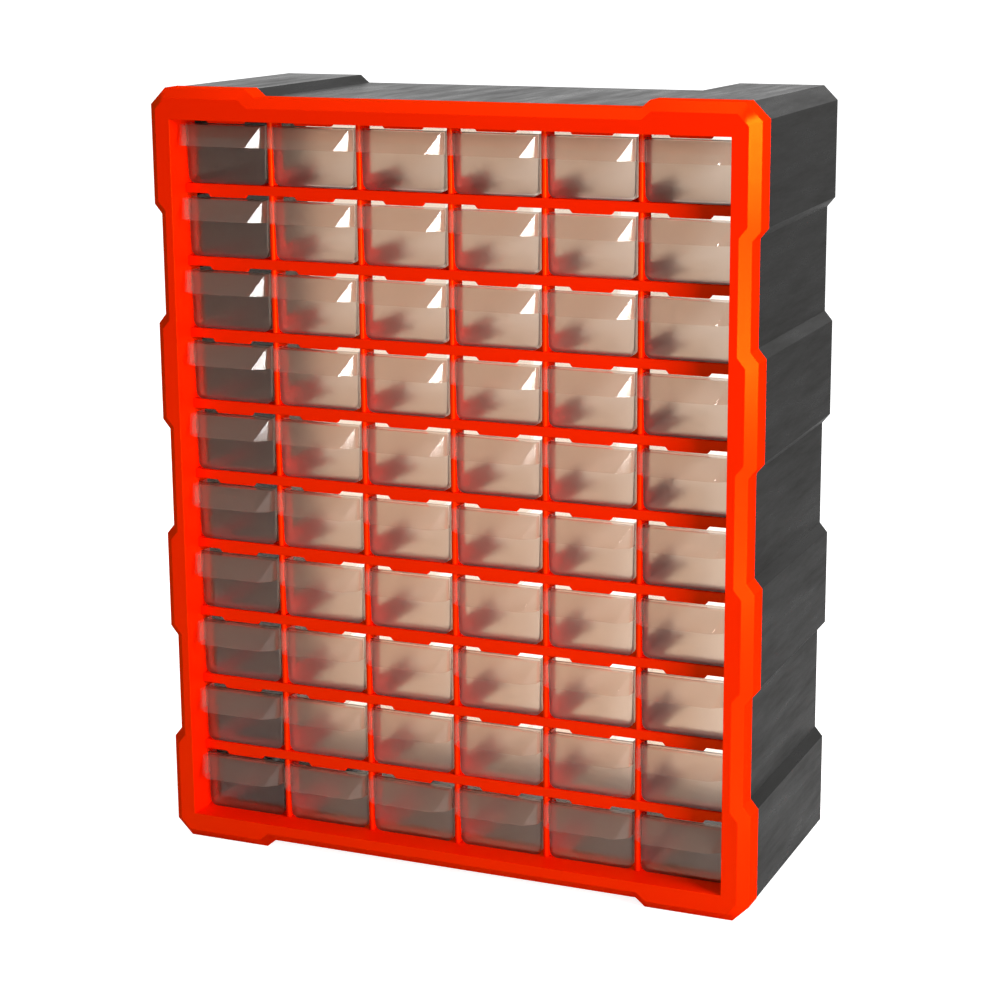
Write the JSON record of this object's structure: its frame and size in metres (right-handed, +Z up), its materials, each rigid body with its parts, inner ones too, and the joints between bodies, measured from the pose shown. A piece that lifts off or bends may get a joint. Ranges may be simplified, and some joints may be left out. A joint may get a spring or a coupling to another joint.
{
  "type": "parts drawer cabinet",
  "caption": "Desktop or wall cabinet for small parts: stepped plastic frame, dark open-backed housing, and a grid of small clear drawers that slide out by a hooded pull.",
  "frame": {"origin": "centre of the footprint, on the surface the cabinet stands on", "axes": "+Z up, front with the drawers towards -Y, +X to the right seen from the front"},
  "size_m": [0.38, 0.162, 0.472],
  "materials": {
    "frame": "moulded, satin gloss orange",
    "housing": "moulded, matt black",
    "screws": "zinc plated",
    "drawers": "natural translucent polypropylene"
  },
  "bodies": {
    "cabinet": {"front_frame": "frame", "drawer_grid": "frame", "rear_housing": "housing", "frame_screws": "screws"},
    "drawer_row01_column1": {"drawer_row01_column1": "drawers"},
    "drawer_row01_column2": {"drawer_row01_column2": "drawers"},
    "drawer_row01_column3": {"drawer_row01_column3": "drawers"},
    "drawer_row01_column4": {"drawer_row01_column4": "drawers"},
    "drawer_row01_column5": {"drawer_row01_column5": "drawers"},
    "drawer_row01_column6": {"drawer_row01_column6": "drawers"},
    "drawer_row02_column1": {"drawer_row02_column1": "drawers"},
    "drawer_row02_column2": {"drawer_row02_column2": "drawers"},
    "drawer_row02_column3": {"drawer_row02_column3": "drawers"},
    "drawer_row02_column4": {"drawer_row02_column4": "drawers"},
    "drawer_row02_column5": {"drawer_row02_column5": "drawers"},
    "drawer_row02_column6": {"drawer_row02_column6": "drawers"},
    "drawer_row03_column1": {"drawer_row03_column1": "drawers"},
    "drawer_row03_column2": {"drawer_row03_column2": "drawers"},
    "drawer_row03_column3": {"drawer_row03_column3": "drawers"},
    "drawer_row03_column4": {"drawer_row03_column4": "drawers"},
    "drawer_row03_column5": {"drawer_row03_column5": "drawers"},
    "drawer_row03_column6": {"drawer_row03_column6": "drawers"},
    "drawer_row04_column1": {"drawer_row04_column1": "drawers"},
    "drawer_row04_column2": {"drawer_row04_column2": "drawers"},
    "drawer_row04_column3": {"drawer_row04_column3": "drawers"},
    "drawer_row04_column4": {"drawer_row04_column4": "drawers"},
    "drawer_row04_column5": {"drawer_row04_column5": "drawers"},
    "drawer_row04_column6": {"drawer_row04_column6": "drawers"},
    "drawer_row05_column1": {"drawer_row05_column1": "drawers"},
    "drawer_row05_column2": {"drawer_row05_column2": "drawers"},
    "drawer_row05_column3": {"drawer_row05_column3": "drawers"},
    "drawer_row05_column4": {"drawer_row05_column4": "drawers"},
    "drawer_row05_column5": {"drawer_row05_column5": "drawers"},
    "drawer_row05_column6": {"drawer_row05_column6": "drawers"},
    "drawer_row06_column1": {"drawer_row06_column1": "drawers"},
    "drawer_row06_column2": {"drawer_row06_column2": "drawers"},
    "drawer_row06_column3": {"drawer_row06_column3": "drawers"},
    "drawer_row06_column4": {"drawer_row06_column4": "drawers"},
    "drawer_row06_column5": {"drawer_row06_column5": "drawers"},
    "drawer_row06_column6": {"drawer_row06_column6": "drawers"},
    "drawer_row07_column1": {"drawer_row07_column1": "drawers"},
    "drawer_row07_column2": {"drawer_row07_column2": "drawers"},
    "drawer_row07_column3": {"drawer_row07_column3": "drawers"},
    "drawer_row07_column4": {"drawer_row07_column4": "drawers"},
    "drawer_row07_column5": {"drawer_row07_column5": "drawers"},
    "drawer_row07_column6": {"drawer_row07_column6": "drawers"},
    "drawer_row08_column1": {"drawer_row08_column1": "drawers"},
    "drawer_row08_column2": {"drawer_row08_column2": "drawers"},
    "drawer_row08_column3": {"drawer_row08_column3": "drawers"},
    "drawer_row08_column4": {"drawer_row08_column4": "drawers"},
    "drawer_row08_column5": {"drawer_row08_column5": "drawers"},
    "drawer_row08_column6": {"drawer_row08_column6": "drawers"},
    "drawer_row09_column1": {"drawer_row09_column1": "drawers"},
    "drawer_row09_column2": {"drawer_row09_column2": "drawers"},
    "drawer_row09_column3": {"drawer_row09_column3": "drawers"},
    "drawer_row09_column4": {"drawer_row09_column4": "drawers"},
    "drawer_row09_column5": {"drawer_row09_column5": "drawers"},
    "drawer_row09_column6": {"drawer_row09_column6": "drawers"},
    "drawers_row10_columns1_3": {"drawers_row10_columns1_3": "drawers"},
    "drawers_row10_columns4_6": {"drawers_row10_columns4_6": "drawers"}
  },
  "joints": [
    {"name": "drawer_row01_column1_slide", "type": "slide", "parent": "cabinet", "child": "drawer_row01_column1", "axis": [0, -1, 0], "range_m": [0, 0.1283]},
    {"name": "drawer_row01_column2_slide", "type": "slide", "parent": "cabinet", "child": "drawer_row01_column2", "axis": [0, -1, 0], "range_m": [0, 0.1283]},
    {"name": "drawer_row01_column3_slide", "type": "slide", "parent": "cabinet", "child": "drawer_row01_column3", "axis": [0, -1, 0], "range_m": [0, 0.1283]},
    {"name": "drawer_row01_column4_slide", "type": "slide", "parent": "cabinet", "child": "drawer_row01_column4", "axis": [0, -1, 0], "range_m": [0, 0.1283]},
    {"name": "drawer_row01_column5_slide", "type": "slide", "parent": "cabinet", "child": "drawer_row01_column5", "axis": [0, -1, 0], "range_m": [0, 0.1283]},
    {"name": "drawer_row01_column6_slide", "type": "slide", "parent": "cabinet", "child": "drawer_row01_column6", "axis": [0, -1, 0], "range_m": [0, 0.1283]},
    {"name": "drawer_row02_column1_slide", "type": "slide", "parent": "cabinet", "child": "drawer_row02_column1", "axis": [0, -1, 0], "range_m": [0, 0.1283]},
    {"name": "drawer_row02_column2_slide", "type": "slide", "parent": "cabinet", "child": "drawer_row02_column2", "axis": [0, -1, 0], "range_m": [0, 0.1283]},
    {"name": "drawer_row02_column3_slide", "type": "slide", "parent": "cabinet", "child": "drawer_row02_column3", "axis": [0, -1, 0], "range_m": [0, 0.1283]},
    {"name": "drawer_row02_column4_slide", "type": "slide", "parent": "cabinet", "child": "drawer_row02_column4", "axis": [0, -1, 0], "range_m": [0, 0.1283]},
    {"name": "drawer_row02_column5_slide", "type": "slide", "parent": "cabinet", "child": "drawer_row02_column5", "axis": [0, -1, 0], "range_m": [0, 0.1283]},
    {"name": "drawer_row02_column6_slide", "type": "slide", "parent": "cabinet", "child": "drawer_row02_column6", "axis": [0, -1, 0], "range_m": [0, 0.1283]},
    {"name": "drawer_row03_column1_slide", "type": "slide", "parent": "cabinet", "child": "drawer_row03_column1", "axis": [0, -1, 0], "range_m": [0, 0.1283]},
    {"name": "drawer_row03_column2_slide", "type": "slide", "parent": "cabinet", "child": "drawer_row03_column2", "axis": [0, -1, 0], "range_m": [0, 0.1283]},
    {"name": "drawer_row03_column3_slide", "type": "slide", "parent": "cabinet", "child": "drawer_row03_column3", "axis": [0, -1, 0], "range_m": [0, 0.1283]},
    {"name": "drawer_row03_column4_slide", "type": "slide", "parent": "cabinet", "child": "drawer_row03_column4", "axis": [0, -1, 0], "range_m": [0, 0.1283]},
    {"name": "drawer_row03_column5_slide", "type": "slide", "parent": "cabinet", "child": "drawer_row03_column5", "axis": [0, -1, 0], "range_m": [0, 0.1283]},
    {"name": "drawer_row03_column6_slide", "type": "slide", "parent": "cabinet", "child": "drawer_row03_column6", "axis": [0, -1, 0], "range_m": [0, 0.1283]},
    {"name": "drawer_row04_column1_slide", "type": "slide", "parent": "cabinet", "child": "drawer_row04_column1", "axis": [0, -1, 0], "range_m": [0, 0.1283]},
    {"name": "drawer_row04_column2_slide", "type": "slide", "parent": "cabinet", "child": "drawer_row04_column2", "axis": [0, -1, 0], "range_m": [0, 0.1283]},
    {"name": "drawer_row04_column3_slide", "type": "slide", "parent": "cabinet", "child": "drawer_row04_column3", "axis": [0, -1, 0], "range_m": [0, 0.1283]},
    {"name": "drawer_row04_column4_slide", "type": "slide", "parent": "cabinet", "child": "drawer_row04_column4", "axis": [0, -1, 0], "range_m": [0, 0.1283]},
    {"name": "drawer_row04_column5_slide", "type": "slide", "parent": "cabinet", "child": "drawer_row04_column5", "axis": [0, -1, 0], "range_m": [0, 0.1283]},
    {"name": "drawer_row04_column6_slide", "type": "slide", "parent": "cabinet", "child": "drawer_row04_column6", "axis": [0, -1, 0], "range_m": [0, 0.1283]},
    {"name": "drawer_row05_column1_slide", "type": "slide", "parent": "cabinet", "child": "drawer_row05_column1", "axis": [0, -1, 0], "range_m": [0, 0.1283]},
    {"name": "drawer_row05_column2_slide", "type": "slide", "parent": "cabinet", "child": "drawer_row05_column2", "axis": [0, -1, 0], "range_m": [0, 0.1283]},
    {"name": "drawer_row05_column3_slide", "type": "slide", "parent": "cabinet", "child": "drawer_row05_column3", "axis": [0, -1, 0], "range_m": [0, 0.1283]},
    {"name": "drawer_row05_column4_slide", "type": "slide", "parent": "cabinet", "child": "drawer_row05_column4", "axis": [0, -1, 0], "range_m": [0, 0.1283]},
    {"name": "drawer_row05_column5_slide", "type": "slide", "parent": "cabinet", "child": "drawer_row05_column5", "axis": [0, -1, 0], "range_m": [0, 0.1283]},
    {"name": "drawer_row05_column6_slide", "type": "slide", "parent": "cabinet", "child": "drawer_row05_column6", "axis": [0, -1, 0], "range_m": [0, 0.1283]},
    {"name": "drawer_row06_column1_slide", "type": "slide", "parent": "cabinet", "child": "drawer_row06_column1", "axis": [0, -1, 0], "range_m": [0, 0.1283]},
    {"name": "drawer_row06_column2_slide", "type": "slide", "parent": "cabinet", "child": "drawer_row06_column2", "axis": [0, -1, 0], "range_m": [0, 0.1283]},
    {"name": "drawer_row06_column3_slide", "type": "slide", "parent": "cabinet", "child": "drawer_row06_column3", "axis": [0, -1, 0], "range_m": [0, 0.1283]},
    {"name": "drawer_row06_column4_slide", "type": "slide", "parent": "cabinet", "child": "drawer_row06_column4", "axis": [0, -1, 0], "range_m": [0, 0.1283]},
    {"name": "drawer_row06_column5_slide", "type": "slide", "parent": "cabinet", "child": "drawer_row06_column5", "axis": [0, -1, 0], "range_m": [0, 0.1283]},
    {"name": "drawer_row06_column6_slide", "type": "slide", "parent": "cabinet", "child": "drawer_row06_column6", "axis": [0, -1, 0], "range_m": [0, 0.1283]},
    {"name": "drawer_row07_column1_slide", "type": "slide", "parent": "cabinet", "child": "drawer_row07_column1", "axis": [0, -1, 0], "range_m": [0, 0.1283]},
    {"name": "drawer_row07_column2_slide", "type": "slide", "parent": "cabinet", "child": "drawer_row07_column2", "axis": [0, -1, 0], "range_m": [0, 0.1283]},
    {"name": "drawer_row07_column3_slide", "type": "slide", "parent": "cabinet", "child": "drawer_row07_column3", "axis": [0, -1, 0], "range_m": [0, 0.1283]},
    {"name": "drawer_row07_column4_slide", "type": "slide", "parent": "cabinet", "child": "drawer_row07_column4", "axis": [0, -1, 0], "range_m": [0, 0.1283]},
    {"name": "drawer_row07_column5_slide", "type": "slide", "parent": "cabinet", "child": "drawer_row07_column5", "axis": [0, -1, 0], "range_m": [0, 0.1283]},
    {"name": "drawer_row07_column6_slide", "type": "slide", "parent": "cabinet", "child": "drawer_row07_column6", "axis": [0, -1, 0], "range_m": [0, 0.1283]},
    {"name": "drawer_row08_column1_slide", "type": "slide", "parent": "cabinet", "child": "drawer_row08_column1", "axis": [0, -1, 0], "range_m": [0, 0.1283]},
    {"name": "drawer_row08_column2_slide", "type": "slide", "parent": "cabinet", "child": "drawer_row08_column2", "axis": [0, -1, 0], "range_m": [0, 0.1283]},
    {"name": "drawer_row08_column3_slide", "type": "slide", "parent": "cabinet", "child": "drawer_row08_column3", "axis": [0, -1, 0], "range_m": [0, 0.1283]},
    {"name": "drawer_row08_column4_slide", "type": "slide", "parent": "cabinet", "child": "drawer_row08_column4", "axis": [0, -1, 0], "range_m": [0, 0.1283]},
    {"name": "drawer_row08_column5_slide", "type": "slide", "parent": "cabinet", "child": "drawer_row08_column5", "axis": [0, -1, 0], "range_m": [0, 0.1283]},
    {"name": "drawer_row08_column6_slide", "type": "slide", "parent": "cabinet", "child": "drawer_row08_column6", "axis": [0, -1, 0], "range_m": [0, 0.1283]},
    {"name": "drawer_row09_column1_slide", "type": "slide", "parent": "cabinet", "child": "drawer_row09_column1", "axis": [0, -1, 0], "range_m": [0, 0.1283]},
    {"name": "drawer_row09_column2_slide", "type": "slide", "parent": "cabinet", "child": "drawer_row09_column2", "axis": [0, -1, 0], "range_m": [0, 0.1283]},
    {"name": "drawer_row09_column3_slide", "type": "slide", "parent": "cabinet", "child": "drawer_row09_column3", "axis": [0, -1, 0], "range_m": [0, 0.1283]},
    {"name": "drawer_row09_column4_slide", "type": "slide", "parent": "cabinet", "child": "drawer_row09_column4", "axis": [0, -1, 0], "range_m": [0, 0.1283]},
    {"name": "drawer_row09_column5_slide", "type": "slide", "parent": "cabinet", "child": "drawer_row09_column5", "axis": [0, -1, 0], "range_m": [0, 0.1283]},
    {"name": "drawer_row09_column6_slide", "type": "slide", "parent": "cabinet", "child": "drawer_row09_column6", "axis": [0, -1, 0], "range_m": [0, 0.1283]},
    {"name": "drawers_row10_columns1_3_slide", "type": "slide", "parent": "cabinet", "child": "drawers_row10_columns1_3", "axis": [0, -1, 0], "range_m": [0, 0.1283]},
    {"name": "drawers_row10_columns4_6_slide", "type": "slide", "parent": "cabinet", "child": "drawers_row10_columns4_6", "axis": [0, -1, 0], "range_m": [0, 0.1283]}
  ]
}
